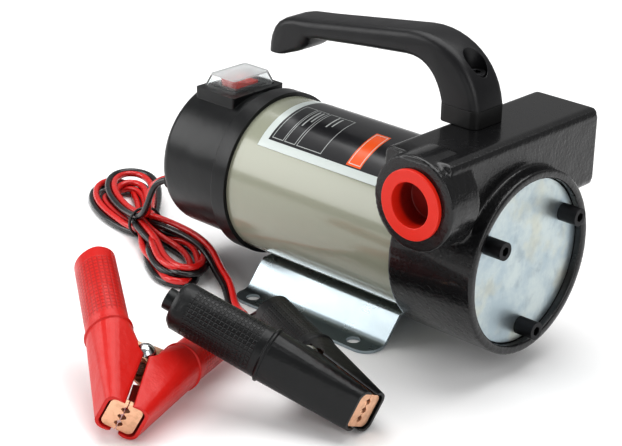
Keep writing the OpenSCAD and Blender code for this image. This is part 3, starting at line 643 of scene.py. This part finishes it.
LOOKS = {
    "housing_paint": cast_paint(),
    "zinc_plate": zinc(),
    "seal_rubber": vinyl("seal_rubber", (0.02, 0.02, 0.02), 0.6).material,
    "black_steel": metal("black_steel", (0.03, 0.03, 0.032), 0.4),
    "bright_steel": metal("bright_steel", (0.62, 0.62, 0.63), 0.28),
    "tube_paint": tube_paint(),
    "ferrite": moulded("ferrite", (0.05, 0.05, 0.055), 0.6).material,
    "die_cast": metal("die_cast", (0.5, 0.51, 0.53), 0.45, 0.0001),
    "bakelite": moulded("bakelite", (0.09, 0.04, 0.015), 0.4).material,
    "carbon": moulded("carbon", (0.02, 0.02, 0.02), 0.5).material,
    "spring_steel": metal("spring_steel", (0.5, 0.5, 0.5), 0.3),
    "label": printed("label_white", (0.58, 0.63, 0.61)),
    "core_steel": metal("core_steel", (0.25, 0.25, 0.27), 0.4),
    "copper_wire": metal("copper_wire", (0.7, 0.3, 0.12), 0.35, 0.0002),
    "brass_parts": metal("brass_parts", (0.7, 0.5, 0.2), 0.3),
    "cap_plastic": black_plastic("cap_plastic", (0.004, 0.0045, 0.005), 0.3),
    "switch_plastic": black_plastic("switch_plastic", (0.006, 0.006, 0.006), 0.35),
    "rocker_red": moulded("rocker_red", (0.80, 0.03, 0.015), 0.22, Subsurface_Weight=0.1).material,
    "clear_boot": clear_vinyl(),
    "galvanised": galvanised(),
    "handle_plastic": black_plastic("handle_plastic", (0.006, 0.006, 0.007), 0.36),
    "handle_base_plastic": black_plastic("handle_base_plastic", (0.004, 0.004, 0.004), 0.42),
    "plug_red": plug_plastic(),
    "gland_rubber": vinyl("gland_rubber", (0.012, 0.012, 0.012), 0.5).material,
    "cord_red": cord_skin("cord_red", (0.58, 0.010, 0.008)),
    "cord_black": cord_skin("cord_black", (0.005, 0.005, 0.006)),
    "tie_plastic": cord_skin("tie_plastic", (0.008, 0.008, 0.008)),
    "clip_red": vinyl("clip_red", VINYL["red"]).material,
    "clip_black": vinyl("clip_black", VINYL["black"]).material,
    "jaw_copper": copper(),
    "rivet_steel": metal("rivet_steel", (0.62, 0.63, 0.64), 0.18),
}


def paint(obj, look):
    """Gives a piece one material, by its name in LOOKS or as itself."""
    obj.data.materials.clear()
    obj.data.materials.append(LOOKS[look] if isinstance(look, str) else look)
    return obj


SLOTS = {part["node"]: part["material_slot"] for part in frame["record"]["subparts"]}
for node, obj in NODES.items():
    paint(obj, SLOTS[node])
paint(red_cord, "cord_red")
paint(black_cord, "cord_black")
paint(tie, "tie_plastic")

# ---------------------------------------------------------------- skins of the CAD parts


def skin(node, edge=0.0003, crease=28, look=None):
    """A copy of a CAD part with joined faces, smooth curved walls and small rounded edges."""
    source = NODES[node]
    mesh = bpy.data.meshes.new(node + "_skin")
    bm = bmesh.new()
    bm.from_mesh(source.data)
    bmesh.ops.remove_doubles(bm, verts=bm.verts, dist=2e-6)
    bmesh.ops.dissolve_limit(bm, angle_limit=math.radians(0.5), verts=bm.verts, edges=bm.edges)
    bm.to_mesh(mesh)
    bm.free()
    if "custom_normal" in mesh.attributes:
        mesh.attributes.remove(mesh.attributes["custom_normal"])
    mesh.shade_smooth()
    mesh.set_sharp_from_angle(angle=math.radians(crease))
    obj = piece(node + "_skin", mesh, source["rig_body"])
    if edge:
        bevel = obj.modifiers.new("edges", "BEVEL")
        bevel.width = edge
        bevel.segments = 2
        bevel.limit_method = "ANGLE"
        bevel.angle_limit = math.radians(crease)
    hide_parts(node)
    return paint(obj, look or SLOTS[node])


def cast_skin(node, voxel, rounds):
    """A copy of a casting with its edges and inner corners rounded, by remeshing and smoothing."""
    obj = skin(node, edge=0)
    remesh = obj.modifiers.new("remesh", "REMESH")
    remesh.mode = "VOXEL"
    remesh.voxel_size = voxel
    remesh.use_smooth_shade = True
    smooth = obj.modifiers.new("round", "SMOOTH")
    smooth.factor = 0.5
    smooth.iterations = rounds
    return obj


cast_skin("pump_housing", voxel=0.0007, rounds=6)
for node in (
    "cover_plate", "cover_screws", "motor_tube", "rear_cap", "cap_screws", "switch_body", "switch_rocker",
    "base_bracket", "handle_base", "handle_bolt", "near_port_plug", "far_port_plug", "cable_gland",
    "label_plate",
):
    skin(node)
skin("handle", edge=0, crease=40)
skin("switch_boot", edge=0, crease=25)
for colour, (at, turn) in CLIPS.items():
    for part, side in (("boot_moving", -1), ("boot_fixed", 1)):
        look = grip(f"{colour}_{part}", VINYL[colour], at, turn, side, NET_DEPTH[colour])
        skin(f"{colour}_{part}", edge=0, crease=44, look=look)
    for part in ("jaw_moving", "jaw_fixed", "rivet"):
        skin(f"{colour}_{part}", edge=0.0001)

# ---------------------------------------------------------------- print on the label


def wrapped(name, patches, lift, look):
    """Thin patches on the tube, each x0, x1 and its low and high angle, in degrees up from the near side."""
    r = TUBE_R + lift
    strip = 2  # degrees
    bm = bmesh.new()
    for x0, x1, low, high in patches:
        count = max(2, math.ceil((high - low) / strip))
        rows = []
        for i in range(count + 1):
            a = math.radians(low + (high - low) * i / count)
            y, z = -r * math.cos(a), AXIS_Z + r * math.sin(a)
            rows.append((bm.verts.new((x0, y, z)), bm.verts.new((x1, y, z))))
        for (a, b), (c, d) in zip(rows, rows[1:]):
            bm.faces.new((a, b, d, c))
    mesh = bpy.data.meshes.new(name)
    bm.to_mesh(mesh)
    bm.free()
    mesh.shade_smooth()
    return paint(piece(name, mesh, "pump"), look)


def outline(x0, x1, low, high, line=0.0004):
    """The four lines of a ruled box on the tube."""
    step = math.degrees(line / TUBE_R)
    return [
        (x0, x1, low, low + step), (x0, x1, high - step, high),
        (x0, x0 + line, low, high), (x1 - line, x1, low, high),
    ]


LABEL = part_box("label_plate")
FRONT = LABEL[1].x
INK = LABEL[0].x + 0.0045  # where the black ground starts, inside the label's white edge
GROUND_LIFT, PRINT_LIFT, TOP_LIFT = 0.00030, 0.00034, 0.00038  # above the tube
BAR = 0.0009  # width of a bar that stands for a line of text
black_ink = printed("label_black", (0.008, 0.008, 0.010))
wrapped("label_ground", [(INK, FRONT, 47.5, 132.5)], GROUND_LIFT, black_ink)
ruled = []
for start, end in ((0.0015, 0.0088), (0.0095, 0.0165), (0.0175, 0.0335)):
    ruled += outline(INK + start, INK + end, 49.5, 88)
for x, low, long in ((0.0115, 66, 20), (0.0138, 72, 14), (0.0235, 72, 15), (0.0262, 74, 12)):
    ruled.append((INK + x, INK + x + BAR, low, low + long))
wrapped("label_lines", ruled, PRINT_LIFT, printed("label_line", (0.42, 0.44, 0.43)))
orange_ink = printed("label_orange", (0.85, 0.11, 0.01))
wrapped("label_patch", [(FRONT - 0.0295, FRONT - 0.0205, 48.5, 83)], PRINT_LIFT, orange_ink)
wrapped("label_patch_line", outline(FRONT - 0.0287, FRONT - 0.0213, 50, 81.5), TOP_LIFT, "label")

# ---------------------------------------------------------------- floor and light

AIM = (-0.02, -0.03, 0.06)


def area_light(name, place, size, power):
    """A rectangular light that points at the object."""
    data = bpy.data.lights.new(name, "AREA")
    data.shape = "RECTANGLE"
    data.size, data.size_y = size
    data.energy = power
    light = bpy.data.objects.new(name, data)
    bpy.context.scene.collection.objects.link(light)
    light.location = place
    light.rotation_mode = "QUATERNION"
    light.rotation_quaternion = (Vector(AIM) - Vector(place)).to_track_quat("-Z", "Y")


def floor():
    bpy.ops.mesh.primitive_plane_add(size=8, location=(0, 0, -0.0002))
    plane = bpy.context.object
    plane.name = "floor"
    s = Surface("floor", (0.94, 0.94, 0.94), 0.8)
    s.tint(s.noise(2, 2), (0.95, 0.95, 0.95), 0.5)
    plane.data.materials.append(s.material)


floor()
area_light("overhead", (-0.1, 0.15, 1.1), (1.3, 1.0), 13)
area_light("left", (-0.9, -0.7, 0.55), (0.9, 0.7), 7)
area_light("right", (1.0, -0.35, 0.6), (0.5, 0.9), 4)
area_light("front", (0.35, -1.2, 0.25), (0.8, 0.5), 1.5)
world = bpy.data.worlds.new("studio")
world.use_nodes = True
sky = world.node_tree.nodes["Background"]
sky.inputs["Color"].default_value = (1, 1, 1, 1)
sky.inputs["Strength"].default_value = 0.34
bpy.context.scene.world = world
view = bpy.context.scene.view_settings
view.view_transform = "Standard"
view.gamma = 0.88
view.exposure = 0.12
